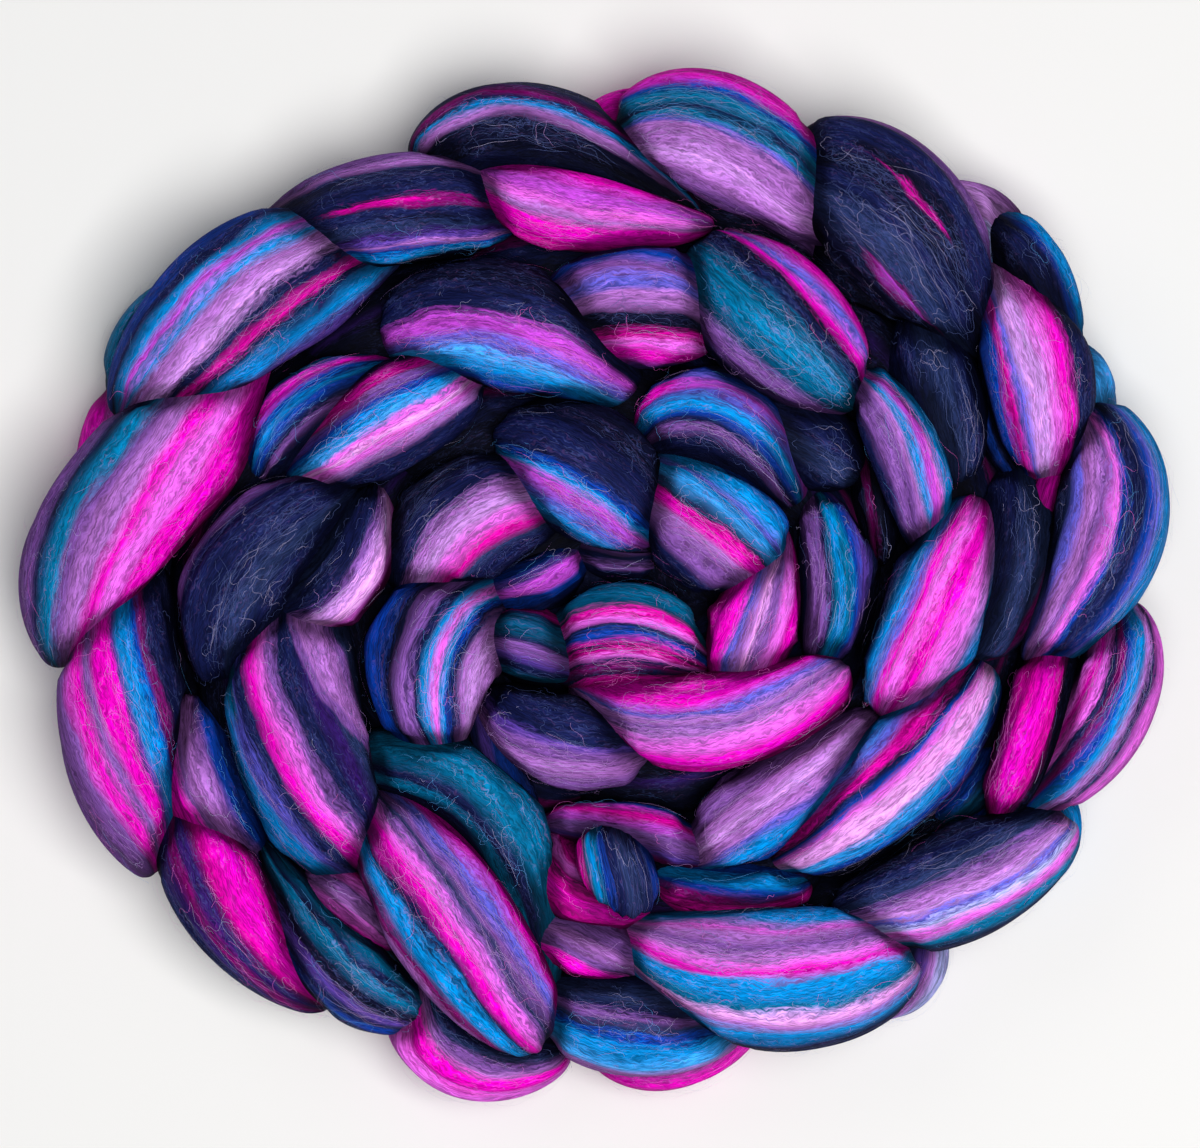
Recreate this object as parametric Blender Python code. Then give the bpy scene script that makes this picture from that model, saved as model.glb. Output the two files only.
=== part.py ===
"""Chained braid of wool roving, coiled flat into an oval nest.

One length of combed wool top is worked into a finger-made chain.  Every stitch of the chain shows as a
plump bout of roving that is pinched at both ends, and the chain is wound from an eye in the middle, round
an inner turn and then an outer turn.  All of it is one piece of wool, so it is one solid.

Sizes are in millimetres.  The frame is +X to the right, +Y away, +Z up.  The nest lies on Z = 0 with the
middle of its outline over the origin.
"""
import math
from collections import namedtuple

import bmesh
import bpy
from mathutils import Vector

MM = 0.001

# A bout runs from its heel, through its belly, to its toe: the middle line of the roving at the start,
# halfway and at the end (x, y, z).  wide and deep are its thickness across and from top to bottom at the
# fullest place, full is where along it that place lies, sway bends the middle line into an S, and lean
# tips the section in degrees, left side up.
Bout = namedtuple("Bout", "name heel belly toe wide deep full sway lean", defaults=(0.5, 0, 0))

# The outer turn, starting at the left of the far side and going round against the clock.
OUTER_TURN = [
    Bout("outer01", (-59, 96, 18), (-89, 70, 36), (-118, 43, 28), 31, 30),
    Bout("outer02", (-87, 60, 20), (-116, 22, 36), (-135, -21, 27), 35, 30, 0.48, 3),
    Bout("outer03", (-113, 8, 22), (-119, -31, 34), (-111, -73, 27), 29, 28),
    Bout("outer04", (-105, -52, 20), (-94, -77, 32), (-66, -106, 25), 24, 26),
    Bout("outer05", (-86, -62, 20), (-68, -91, 32), (-45, -107, 25), 21, 26, 0.58),
    Bout("outer06", (-61, -44, 24), (-28, -59, 33), (-13, -106, 26), 18, 22, 0.4),
    Bout("outer07", (-58, -52, 24), (-37, -81, 38), (-14, -116, 27), 31, 28),
    Bout("outer08", (-46, -93, 16), (-35, -114, 18), (-9, -116, 16), 25, 24),
    Bout("outer09", (-16, -102, 18), (10, -109, 30), (39, -107, 26), 25, 26),
    Bout("outer10", (1, -84, 24), (41, -97, 38), (77, -92, 28), 35, 29, 0.57),
    Bout("outer11", (76, -80, 14), (73, -95, 17), (62, -103, 14), 22, 22),
    Bout("outer12", (54, -85, 20), (88, -75, 34), (115, -59, 26), 26, 28, 0.55),
    Bout("outer13", (104, -46, 14), (108, -61, 16), (101, -74, 14), 24, 24),
    Bout("outer14", (115, -12, 22), (109, -35, 34), (99, -59, 27), 16, 24),
    Bout("outer15", (131, -5, 20), (126, -31, 33), (103, -58, 26), 21, 26),
    Bout("outer16", (122, 45, 22), (127, 15, 37), (107, -20, 29), 28, 29),
    Bout("outer17", (98, 83, 22), (109, 54, 36), (112, 25, 27), 26, 28),
    Bout("outer18", (97, 93, 20), (111, 73, 30), (117, 40, 20), 17, 22),
    Bout("outer19", (54, 114, 24), (75, 94, 37), (92, 62, 29), 37, 30),
    Bout("outer20", (9, 112, 24), (33, 111, 36), (64, 87, 28), 29, 29),
    Bout("outer21", (-44, 106, 20), (-17, 111, 32), (18, 96, 26), 23, 26),
    Bout("outer22", (-33, 104, 24), (-7, 94, 36), (30, 90, 30), 18, 24),
    Bout("outer23", (-92, 84, 20), (-51, 94, 34), (-20, 96, 26), 27, 27),
    Bout("outer24", (-56, 88, 18), (-66, 70, 28), (-92, 55, 22), 15, 22),
    Bout("outer25", (97, 56, 20), (98, 39, 27), (109, 22, 22), 9, 18),
]

# Bouts of the outer turn that lie underneath and only peek out past the others.
OUTER_UNDER = [
    Bout("under01", (-104, 60, 13), (-117, 35, 16), (-116, 8, 13), 26, 24),
    Bout("under02", (-8, -104, 13), (18, -112, 16), (42, -100, 13), 25, 24),
    Bout("under03", (110, 62, 14), (118, 47, 16), (118, 30, 14), 23, 24),
    Bout("under04", (82, 97, 14), (97, 87, 16), (104, 72, 14), 23, 24),
    Bout("under05", (-8, 106, 14), (11, 114, 16), (32, 110, 14), 22, 24),
    Bout("under06", (116, 36, 26), (111, 22, 29), (109, 8, 24), 10, 16),
    Bout("under07", (-104, 76, 14), (-114, 56, 16), (-114, 38, 14), 20, 24),
]

# The inner turn, in the same order.
INNER_TURN = [
    Bout("inner01", (-54, 61, 24), (-25, 65, 38), (9, 49, 29), 30, 29),
    Bout("inner02", (-9, 66, 24), (10, 70, 36), (28, 64, 29), 31, 28),
    Bout("inner03", (25, 83, 26), (43, 66, 40), (65, 45, 31), 33, 30),
    Bout("inner04", (30, 49, 24), (48, 39, 32), (66, 27, 26), 20, 24),
    Bout("inner05", (79, 70, 24), (83, 46, 34), (88, 24, 28), 25, 27),
    Bout("inner06", (63, 56, 24), (77, 37, 35), (82, 9, 29), 19, 25),
    Bout("inner07", (67, 34, 20), (70, 20, 27), (71, 5, 22), 13, 20),
    Bout("inner08", (97, 23, 26), (83, -5, 39), (70, -33, 30), 26, 28),
    Bout("inner09", (103, 29, 22), (102, 6, 33), (91, -18, 27), 20, 26),
    Bout("inner10", (72, -30, 24), (48, -50, 37), (25, -68, 29), 20, 26, 0.55),
    Bout("inner11", (95, -18, 24), (73, -47, 36), (42, -69, 28), 25, 27, 0.45),
    Bout("inner12", (-14, -60, 24), (11, -60, 33), (35, -69, 28), 11, 20),
    Bout("inner13", (13, -70, 22), (31, -73, 30), (52, -73, 24), 12, 20),
    Bout("inner14", (-19, -71, 22), (-3, -72, 33), (15, -69, 26), 19, 24),
    Bout("inner15", (-85, 27, 22), (-73, 44, 33), (-48, 56, 26), 18, 25),
    Bout("inner16", (-78, 26, 24), (-53, 42, 36), (-32, 53, 28), 23, 27),
    Bout("inner17", (-94, -24, 22), (-87, 4, 36), (-60, 26, 28), 26, 28),
    Bout("inner18", (-86, -8, 22), (-67, 6, 34), (-58, 23, 26), 16, 24),
    Bout("inner19", (-71, 1, 22), (-75, -35, 36), (-60, -71, 28), 34, 29),
    Bout("inner20", (-33, 9, 17), (-40, -16, 37), (-40, -42, 28), 34, 28, 0.37),
    Bout("inner21", (-103, -28, 18), (-101, -48, 27), (-85, -69, 20), 19, 24),
    Bout("inner22", (-73, -74, 18), (-60, -81, 25), (-46, -93, 20), 14, 20),
    Bout("inner23", (-14, -86, 20), (0, -87, 29), (18, -98, 22), 16, 22),
    Bout("inner24", (-31, -26, 20), (-25, -46, 28), (-16, -62, 22), 14, 22),
    Bout("inner25", (101, -38, 16), (94, -51, 22), (82, -60, 18), 12, 18),
]

# The eye of the nest, where the chain starts.
EYE = [
    Bout("eye01", (-8, -18, 24), (9, -13, 38), (30, -22, 30), 26, 28),
    Bout("eye02", (-6, -25, 26), (28, -33, 42), (63, -21, 32), 23, 26, 0.58),
    Bout("eye03", (47, 17, 24), (40, -6, 36), (34, -27, 29), 22, 26, 0.6),
    Bout("eye04", (54, 24, 22), (59, 1, 34), (54, -21, 27), 17, 25),
    Bout("eye05", (12, 28, 26), (28, 16, 38), (43, 3, 30), 30, 28),
    Bout("eye06", (11, 37, 24), (31, 40, 35), (50, 22, 28), 26, 27),
    Bout("eye07", (-23, 35, 26), (-4, 29, 38), (15, 13, 30), 33, 29),
    Bout("eye08", (-8, 11, 20), (5, 7, 28), (16, 8, 22), 13, 20),
    Bout("eye09", (-51, 0, 24), (-32, 17, 36), (-9, 17, 29), 30, 28),
    Bout("eye10", (-30, -2, 22), (-15, 1, 30), (-4, 10, 24), 13, 20),
    Bout("eye11", (-26, -12, 24), (-14, -16, 34), (-2, -26, 28), 19, 25),
    Bout("eye12", (-28, -28, 24), (-9, -38, 35), (14, -38, 27), 23, 26),
]

# Wool that the turns above lie on: rings of bouts laid end over end round an oval.  reach and depth are the
# half width and half depth of the oval, count the bouts in it, start the turn in degrees of its first bout,
# and height the level of its middle lines.  The first three rings are the first layer of the coil, and the
# last three show only as wool deep in the creases.
Ring = namedtuple("Ring", "name reach depth count start long wide deep height")
RINGS = [
    Ring("base_outer", 111, 96, 16, 5, 54, 29, 28, 13),
    Ring("base_inner", 77, 64, 12, 0, 50, 29, 28, 13),
    Ring("base_eye", 42, 32, 7, 10, 46, 29, 28, 13),
    Ring("crease_outer", 93, 78, 13, 12, 54, 25, 22, 23),
    Ring("crease_inner", 57, 45, 9, 5, 48, 25, 22, 23),
    Ring("crease_eye", 22, 14, 4, 40, 42, 25, 22, 23),
]

# The wool packed between the layers fills the heart of the nest.
HEART = dict(reach=104, depth=89, low=7, high=21)

ROUND_STEPS = 20
LONG_STEPS = 24
FULLNESS = 0.7
GRAIN = 2.1
TRIANGLES = 10700


def middle_line(bout, t):
    """Middle of the roving at t, and the ways along, across and up out of it there."""
    heel, belly, toe = Vector(bout.heel), Vector(bout.belly), Vector(bout.toe)
    centre = heel * (1 - t) * (1 - 2 * t) + belly * 4 * t * (1 - t) - toe * t * (1 - 2 * t)
    along = heel * (4 * t - 3) + belly * (4 - 8 * t) + toe * (4 * t - 1)
    along.normalize()
    across = Vector((-along.y, along.x, 0)).normalized()
    up = along.cross(across)
    centre += across * bout.sway * math.sin(2 * math.pi * t)
    return centre, across, up


def fullness(bout, t):
    """Thickness at t as a share of the thickness at the fullest place."""
    eased = t ** (math.log(0.5) / math.log(bout.full))
    return max(0.0, math.sin(math.pi * eased)) ** FULLNESS


def add_bout(mesh, bout):
    """One bout of roving: a spindle round its middle line, closed at heel and toe."""
    lean = math.radians(bout.lean)
    heel = mesh.verts.new(middle_line(bout, 0)[0])
    toe = mesh.verts.new(middle_line(bout, 1)[0])
    rings = []
    for step in range(1, LONG_STEPS):
        t = 0.5 - 0.5 * math.cos(math.pi * step / LONG_STEPS)
        centre, across, up = middle_line(bout, t)
        share = fullness(bout, t)
        ring = []
        for turn in range(ROUND_STEPS):
            angle = 2 * math.pi * turn / ROUND_STEPS
            side = math.cos(angle) * bout.wide / 2
            rise = math.sin(angle) * bout.deep / 2
            out = across * (side * math.cos(lean) - rise * math.sin(lean))
            out += up * (side * math.sin(lean) + rise * math.cos(lean))
            ring.append(mesh.verts.new(centre + out * share))
        rings.append(ring)
    for turn in range(ROUND_STEPS):
        after = (turn + 1) % ROUND_STEPS
        mesh.faces.new((heel, rings[0][after], rings[0][turn]))
        mesh.faces.new((toe, rings[-1][turn], rings[-1][after]))
        for near, far in zip(rings, rings[1:]):
            mesh.faces.new((near[turn], near[after], far[after], far[turn]))


def ring_bouts(ring):
    """The bouts of one ring, each lying along the oval and a little across it."""
    bouts = []
    for index in range(ring.count):
        angle = math.radians(ring.start) + 2 * math.pi * index / ring.count
        middle = Vector((ring.reach * math.cos(angle), ring.depth * math.sin(angle), ring.height))
        along = Vector((-ring.reach * math.sin(angle), ring.depth * math.cos(angle), 0)).normalized()
        out = Vector((along.y, -along.x, 0))
        heel = middle - along * ring.long / 2 - out * 5
        toe = middle + along * ring.long / 2 + out * 1
        bouts.append(Bout(ring.name, heel, middle + out * 1, toe, ring.wide, ring.deep))
    return bouts


def add_heart(mesh):
    """A flat cushion of wool in the middle of the nest."""
    made = bmesh.ops.create_uvsphere(mesh, u_segments=40, v_segments=16, radius=1)
    middle = (HEART["high"] + HEART["low"]) / 2
    half = (HEART["high"] - HEART["low"]) / 2
    for vert in made["verts"]:
        flat = Vector((vert.co.x, vert.co.y))
        if flat.length > 1e-6:
            flat *= flat.length ** -0.35
        vert.co = Vector((flat.x * HEART["reach"], flat.y * HEART["depth"], middle + vert.co.z * half))


def new_object(name, mesh):
    """A new object in the scene from a mesh worked out here."""
    data = bpy.data.meshes.new(name)
    mesh.to_mesh(data)
    mesh.free()
    made = bpy.data.objects.new(name, data)
    bpy.context.scene.collection.objects.link(made)
    return made


def shape_now(thing):
    """The object's mesh with its modifiers worked out."""
    bpy.context.view_layer.update()
    graph = bpy.context.evaluated_depsgraph_get()
    return bpy.data.meshes.new_from_object(thing.evaluated_get(graph))


def keep_outer_skin(data):
    """Keeps the largest closed skin of the mesh and drops what lies sealed inside it."""
    mesh = bmesh.new()
    mesh.from_mesh(data)
    left = set(mesh.verts)
    skins = []
    while left:
        grow = [left.pop()]
        skin = list(grow)
        while grow:
            vert = grow.pop()
            for edge in vert.link_edges:
                other = edge.other_vert(vert)
                if other in left:
                    left.discard(other)
                    grow.append(other)
                    skin.append(other)
        skins.append(skin)
    skins.sort(key=len)
    for skin in skins[:-1]:
        bmesh.ops.delete(mesh, geom=skin, context="VERTS")
    bmesh.ops.recalc_face_normals(mesh, faces=mesh.faces)
    return mesh


def wool():
    """The material of the roving: soft, without shine."""
    made = bpy.data.materials.new("dyed wool roving")
    made.use_nodes = True
    surface = made.node_tree.nodes["Principled BSDF"]
    surface.inputs["Base Color"].default_value = (0.09, 0.07, 0.2, 1)
    surface.inputs["Roughness"].default_value = 0.85
    surface.inputs["Metallic"].default_value = 0
    return made


for old in list(bpy.data.objects):
    bpy.data.objects.remove(old, do_unlink=True)

# All the bouts lie in one mesh, each a closed spindle that runs into its neighbours.
heap_mesh = bmesh.new()
for bout in OUTER_TURN + OUTER_UNDER + INNER_TURN + EYE:
    add_bout(heap_mesh, bout)
for ring in RINGS:
    for bout in ring_bouts(ring):
        add_bout(heap_mesh, bout)
add_heart(heap_mesh)
heap = new_object("heap of bouts", heap_mesh)

# The spindles grow together into one skin, as the wool of one length does.
felt = heap.modifiers.new("grow together", "REMESH")
felt.mode = "VOXEL"
felt.voxel_size = GRAIN
skin = new_object("skin", keep_outer_skin(shape_now(heap)))
bpy.data.objects.remove(heap, do_unlink=True)

# The skin is thinned to a workable number of faces.
thin = skin.modifiers.new("thin out", "DECIMATE")
thin.ratio = TRIANGLES / sum(len(face.vertices) - 2 for face in skin.data.polygons)
thinned = bmesh.new()
thinned.from_mesh(shape_now(skin))
bmesh.ops.triangulate(thinned, faces=thinned.faces)
bmesh.ops.scale(thinned, vec=(MM, MM, MM), verts=thinned.verts)
braid = new_object("braid", thinned)
bpy.data.objects.remove(skin, do_unlink=True)

# The wool lies pressed flat on what it rests on.
floor_mesh = bmesh.new()
bmesh.ops.create_cube(floor_mesh, size=1)
for vert in floor_mesh.verts:
    vert.co = Vector((vert.co.x * 400, vert.co.y * 400, vert.co.z * 20 - 10)) * MM
floor = new_object("resting plane", floor_mesh)
floor.hide_render = True
floor.display_type = "WIRE"
rest = braid.modifiers.new("rest flat", "BOOLEAN")
rest.operation = "DIFFERENCE"
rest.solver = "EXACT"
rest.object = floor

for face in braid.data.polygons:
    face.use_smooth = True
braid.data.materials.append(wool())
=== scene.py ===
"""Coiled chain braid of dyed wool roving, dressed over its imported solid.

One length of combed wool top is finger-chained and coiled flat.  Each stitch of the chain shows as a plump
bout of roving, pinched at heel and toe, whose dyed locks run from pinch to pinch.  Sizes in the tables are
millimetres, in the frame of the solid: +X right, +Y away, +Z up, resting on Z = 0.
"""
import math
from collections import namedtuple

import bpy
import numpy as np
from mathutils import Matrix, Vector
from mathutils.bvhtree import BVHTree


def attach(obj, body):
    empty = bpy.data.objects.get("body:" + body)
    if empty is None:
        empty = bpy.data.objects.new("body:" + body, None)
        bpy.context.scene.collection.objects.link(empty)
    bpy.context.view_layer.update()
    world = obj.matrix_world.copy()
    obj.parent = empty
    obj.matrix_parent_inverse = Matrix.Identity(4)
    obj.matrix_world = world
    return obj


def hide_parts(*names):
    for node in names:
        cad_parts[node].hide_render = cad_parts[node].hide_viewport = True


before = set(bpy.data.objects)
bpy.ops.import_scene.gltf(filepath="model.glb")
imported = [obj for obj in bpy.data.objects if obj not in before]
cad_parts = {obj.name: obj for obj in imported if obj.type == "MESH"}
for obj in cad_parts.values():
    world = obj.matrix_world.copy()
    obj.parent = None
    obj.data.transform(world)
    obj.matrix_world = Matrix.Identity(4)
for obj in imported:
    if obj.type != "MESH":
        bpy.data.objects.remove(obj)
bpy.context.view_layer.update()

# ---------------------------------------------------------------------------------------------------------
# The outer turn.  Combed wool lies in parallel fibres, so every bout is a fat spindle of them: each dyed
# lock runs from the heel to the toe, wide over the belly and drawn together where the next stitch grips it.

# The scene is in metres.
MM = 0.001

# heel, belly and toe are the middle line of the roving at the start, halfway and at the end.  wide and deep
# are its thickness across and up, full is where along it that is reached, and sway is an S in the middle
# line.  twist turns the locks round the bout on the way to the toe, in degrees.  ends says how sharply heel
# and toe are drawn in: small is blunt.  dyes names each lock from the left edge, looking from heel to toe,
# with the percentage of the visible width where it ends.  slips are short locks of another dye that show
# where the fibres part; an ink slip beside the plum and magenta slips is painted shade in the parting.
# Each has its dye, where it starts and where it ends, both as shares of the length and of the visible
# width, half its width as such a share, and where along it it is widest.
Bout = namedtuple(
    "Bout", "name heel belly toe wide deep dyes full sway twist ends slips",
    defaults=(0.5, 0, 0, (0.38, 0.46), ()),
)

OUTER_TURN = [
    Bout("outer01", (-51, 88, 20), (-88, 71, 36), (-120, 41, 27), 35, 30,
         "violet 6 azure 19 navy 24 magenta 31 navy 44 pale 52 lilac 66 azure 71 orchid 80 azure 84 "
         "navy 95 blue 100", twist=-42, ends=(0.26, 0.46)),
    Bout("outer02", (-85, 64, 19), (-116, 22, 36), (-135, -21, 27), 35, 30,
         "magenta 4 pink 21 rose 36 pink 46 lilac 64 mauve 70 teal 82 navy 93 mauve 100",
         full=0.48, sway=3, twist=-45, ends=(0.3, 0.5)),
    Bout("outer03", (-113, 8, 22), (-119, -31, 34), (-111, -73, 27), 29, 28,
         "navy 14 plum 18 blue 25 azure 38 violet 42 pink 62 mauve 74 pink 84 mauve 100",
         twist=-115, ends=(0.34, 0.5)),
    Bout("outer04", (-105, -52, 20), (-94, -77, 32), (-66, -106, 25), 24, 26,
         "plum 8 magenta 16 pink 40 magenta 48 plum 54 dusk 70 plum 78 dusk 92 navy 100", twist=50),
    Bout("outer05", (-86, -62, 20), (-68, -91, 32), (-45, -107, 25), 21, 26,
         "navy 10 teal 26 navy 34 teal 46 petrol 52 ink 68 violet 78 navy 86 blue 96 navy 100",
         full=0.58),
    Bout("outer06", (-62, -43, 26), (-26, -57, 34), (-12, -106, 26), 21, 23,
         "petrol 14 teal 44 petrol 54 navy 72 teal 84 navy 100", full=0.4, ends=(0.3, 0.5)),
    Bout("outer07", (-58, -52, 24), (-37, -82, 38), (-15, -113, 25), 31, 28,
         "pink 14 iris 23 mauve 34 slate 38 mauve 46 rose 52 pink 64 navy 71 azure 86 plum 92 lilac 100",
         ends=(0.4, 0.24)),
    Bout("outer08", (-46, -93, 16), (-35, -114, 18), (-7, -116, 17), 26, 24,
         "blue 10 navy 46 slate 52 mauve 60 lilac 66 pink 84 rose 100", twist=30, ends=(0.38, 0.38)),
    Bout("outer09", (-16, -102, 18), (10, -109, 30), (39, -107, 26), 25, 26,
         "navy 14 slate 34 navy 40 mauve 50 slate 56 blue 62 azure 80 sky 92 lilac 100",
         ends=(0.34, 0.5)),
    Bout("outer10", (1, -84, 24), (41, -97, 38), (78, -92, 28), 35, 29,
         "azure 14 rose 17 lilac 24 mauve 32 lilac 38 rose 43 pink 49 azure 68 teal 73 blush 80 "
         "lilac 83 azure 92 navy 100", full=0.57, twist=-24, ends=(0.5, 0.32)),
    Bout("outer11", (76, -80, 14), (75, -95, 18), (62, -104, 14), 23, 22,
         "frost 10 lilac 22 violet 38 navy 60 blue 100"),
    Bout("outer12", (54, -85, 20), (88, -75, 34), (116, -58, 26), 26, 28,
         "ink 12 navy 24 slate 38 mauve 46 lilac 56 pale 62 iris 66 frost 73 rose 84 teal 94 navy 100",
         full=0.55, ends=(0.5, 0.26)),
    Bout("outer13", (104, -46, 14), (109, -61, 16), (101, -74, 14), 24, 24,
         "azure 18 blue 34 violet 52 navy 100"),
    Bout("outer14", (116, -10, 22), (109, -35, 34), (99, -60, 27), 17, 24,
         "ink 28 plum 34 magenta 48 pink 72 magenta 88 plum 100", ends=(0.3, 0.46)),
    Bout("outer15", (131, -5, 20), (126, -31, 33), (103, -59, 26), 22, 26,
         "rose 12 navy 18 lilac 26 azure 42 blue 50 plum 58 navy 68 rose 76 pink 84 rose 92 ink 100"),
    Bout("outer16", (122, 45, 22), (127, 15, 37), (107, -20, 29), 28, 29,
         "azure 10 iris 18 blue 24 navy 42 blue 46 rose 56 mauve 62 lilac 76 iris 84 slate 92 ink 100",
         ends=(0.4, 0.4)),
    Bout("outer17", (98, 83, 22), (109, 54, 36), (112, 25, 27), 26, 28,
         "navy 20 pink 33 rose 46 pale 68 iris 74 magenta 84 blue 92 navy 100", ends=(0.5, 0.5)),
    Bout("outer18", (97, 93, 20), (111, 73, 30), (117, 40, 20), 17, 22,
         "azure 14 blue 24 navy 60 ink 100"),
    Bout("outer19", (46, 105, 23), (73, 93, 37), (96, 57, 28), 34, 30,
         "lilac 2 mauve 3 navy 34 ink 44 navy 62 slate 84 ink 100",
         full=0.46, ends=(0.42, 0.42), slips=(
             # The ink slip beside the plum and magenta slips is painted shade in the parting.
             ("ink", (0.24, 0.26), (0.8, 0.3), 0.08, 0.6),
             ("plum", (0.32, 0.3), (0.7, 0.34), 0.04, 0.6),
             ("magenta", (0.36, 0.3), (0.66, 0.34), 0.026, 0.6),
             ("plum", (0.5, 0.85), (0.9, 0.83), 0.06, 0.5),
             ("orchid", (0.55, 0.85), (0.86, 0.83), 0.036, 0.5),
         )),
    Bout("outer20", (7, 113, 24), (33, 111, 36), (64, 86, 28), 29, 29,
         "pink 13 blue 18 teal 30 navy 35 teal 44 iris 47 lilac 70 pale 78 lilac 90 mauve 100",
         ends=(0.3, 0.42)),
    Bout("outer21", (-44, 104, 20), (-15, 112, 32), (27, 91, 27), 24, 26,
         "navy 8 plum 13 navy 17 azure 22 lilac 33 ink 66 navy 86 ink 100", full=0.44),
    Bout("outer22", (-33, 105, 30), (-9, 95, 36), (30, 90, 30), 21, 24,
         "pink 24 orchid 44 rose 58 lilac 68 pink 92 magenta 100", ends=(0.7, 0.5)),
    Bout("outer23", (-92, 82, 20), (-51, 94, 34), (-21, 93, 24), 27, 27,
         "mauve 7 lilac 11 navy 64 slate 70 dusk 76 violet 79 lilac 84 blue 87 azure 96 navy 100",
         ends=(0.5, 0.28), slips=(
             # The ink slip beside the plum and magenta slips is painted shade in the parting.
             ("ink", (0.4, 0.6), (0.74, 0.62), 0.035, 0.5),
             ("plum", (0.28, 0.43), (0.86, 0.49), 0.075, 0.5),
             ("magenta", (0.33, 0.43), (0.68, 0.48), 0.045, 0.4),
         )),
    Bout("outer24", (-54, 84, 16), (-66, 71, 22), (-88, 56, 20), 15, 18, "violet 30 blue 60 navy 100"),
    Bout("outer25", (97, 56, 20), (98, 39, 27), (109, 22, 22), 9, 18, "navy 40 blue 70 navy 100"),
]

# The acid dyes, as red, green and blue out of 255, and the bloom of frizz over the dark ones.
DYES = {
    "ink": (12, 15, 42),
    "navy": (20, 27, 74),
    "slate": (36, 50, 94),
    "dusk": (48, 22, 98),
    "petrol": (0, 76, 114),
    "teal": (0, 114, 162),
    "blue": (6, 64, 172),
    "azure": (0, 144, 226),
    "sky": (58, 166, 250),
    "frost": (186, 190, 255),
    "violet": (94, 64, 168),
    "iris": (98, 96, 214),
    "orchid": (198, 72, 216),
    "plum": (122, 2, 100),
    "magenta": (226, 0, 166),
    "pink": (255, 0, 206),
    "rose": (242, 104, 238),
    "blush": (246, 164, 250),
    "pale": (214, 148, 238),
    "lilac": (180, 112, 204),
    "mauve": (132, 82, 168),
    "bloom": (78, 92, 156),
}

# Round a bout, angles run from the left edge over the top, which shows, and back under it.  Steps are how
# many points the skin has over the top, under it and from heel to toe.
TOP_START = -0.12 * np.pi
TOP_END = 1.12 * np.pi
UNDER_END = 1.88 * np.pi
TOP_STEPS = 42
UNDER_STEPS = 12
LONG_STEPS = 56

# How far the skin stands out from the plain spindle: all of it, the round of each lock, the ridges that its
# fibres gather in, and slow swells.  Narrow locks and thin bouts stand out less.  A bout that is pressed
# smooth by its neighbours keeps an even share of it.
SKIN_RISE = 0.8
LOCK_RISE = 0.9
RIDGE_RISE = 2.6
RIDGES = (6, 22)
SWELL_RISE = 0.7
PRESSED_RISE = 1.4
FULL_LOCK = 0.14
FULL_BOUT = 16

# The maps start on the underside, to the left of the left edge, and this share of a turn is added to keep
# them above nought.
MAP_LIFT = 0.25


def middle_line(bout, t):
    """Middle of the roving at each t, and the ways across and up out of it, as arrays."""
    t = np.asarray(t, float)[..., None]
    heel, belly, toe = (np.array(place, float) for place in (bout.heel, bout.belly, bout.toe))
    centre = heel * (1 - t) * (1 - 2 * t) + belly * 4 * t * (1 - t) - toe * t * (1 - 2 * t)
    along = heel * (4 * t - 3) + belly * (4 - 8 * t) + toe * (4 * t - 1)
    along /= np.linalg.norm(along, axis=-1, keepdims=True)
    across = np.stack([-along[..., 1], along[..., 0], 0 * along[..., 0]], -1)
    across /= np.linalg.norm(across, axis=-1, keepdims=True)
    up = np.cross(along, across)
    return centre + across * bout.sway * np.sin(2 * np.pi * t), across, up


def fullness(bout, t):
    """Thickness at t as a share of the thickness at the fullest place."""
    eased = np.clip(t, 0, 1) ** (math.log(0.5) / math.log(bout.full))
    return np.maximum(0, np.sin(np.pi * eased)) ** (bout.ends[0] + (bout.ends[1] - bout.ends[0]) * t)


def on_bout(bout, t, lock, lift=0.0):
    """Points on the skin of a bout and the ways out of it: lock is the angle round the wool."""
    centre, across, up = middle_line(bout, t)
    angle = lock + math.radians(bout.twist) * (np.asarray(t) - 0.5)
    side = np.cos(angle) * bout.wide / 2
    rise = np.sin(angle) * bout.deep / 2
    out = across * side[..., None] + up * rise[..., None]
    away = out / np.linalg.norm(out, axis=-1, keepdims=True)
    return centre + out * fullness(bout, t)[..., None] + away * np.asarray(lift)[..., None], away


def lock_ends(bout):
    """The dyes of a bout and the share of its visible width where each one ends."""
    words = bout.dyes.split()
    return words[0::2], [float(word) / 100 for word in words[1::2]]


def lock_relief(bout, t, lock, rng):
    """Height of the skin over the plain spindle."""
    height = np.zeros(np.broadcast(t, lock).shape)
    shift = 0.07 * np.sin(2 * np.pi * (t * rng.uniform(0.4, 1.1) + rng.uniform()))
    across = 0.5 - 0.5 * np.cos(lock + shift)
    start = 0.0
    for end in lock_ends(bout)[1]:
        inside = np.clip((across - start) / max(end - start, 1e-6), 0, 1)
        dome = 1 - (2 * inside - 1) ** 4
        height += LOCK_RISE * min(1.0, (end - start) / FULL_LOCK) * dome * (np.sin(lock) > -0.3)
        start = end
    for ridges in rng.integers(*RIDGES, 7):
        drift = rng.uniform(0, 6.28) + rng.uniform(-2.5, 2.5) * t + 0.9 * np.sin(t * rng.uniform(3, 9))
        height += rng.uniform(0.5, 1.0) * RIDGE_RISE / ridges * np.sin(ridges * lock + drift)
    swell = np.sin(2 * lock + rng.uniform(0, 6.28) + rng.uniform(2, 5) * t)
    return (height + SWELL_RISE * swell + SKIN_RISE) * fullness(bout, t) * min(1, bout.wide / FULL_BOUT)


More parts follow.
